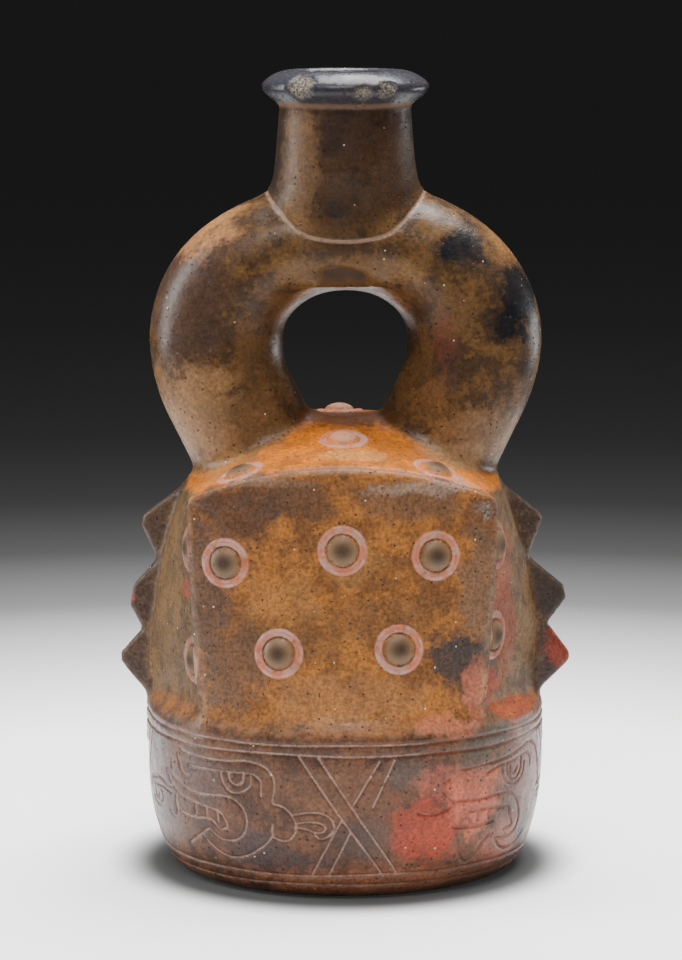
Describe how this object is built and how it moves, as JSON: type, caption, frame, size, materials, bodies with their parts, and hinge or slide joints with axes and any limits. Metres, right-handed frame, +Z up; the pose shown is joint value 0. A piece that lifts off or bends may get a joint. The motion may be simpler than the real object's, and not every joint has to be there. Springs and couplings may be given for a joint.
{
  "type": "stirrup spout vessel",
  "caption": "Hollow burnished clay bottle on a drum base, with buttoned walls, toothed sides and a stirrup-shaped handle that carries a short spout.",
  "frame": {"origin": "centre of the flat underside", "axes": "+Z up through the spout's mouth, -Y out of the front panel, +X along the stirrup to the vessel's left-hand teeth as it faces the viewer's right"},
  "size_m": [0.1578, 0.1384, 0.278],
  "materials": {
    "burnished_clay": "burnished fired clay, satin sheen"
  },
  "bodies": {
    "root": {"vessel": "burnished_clay"}
  },
  "joints": []
}
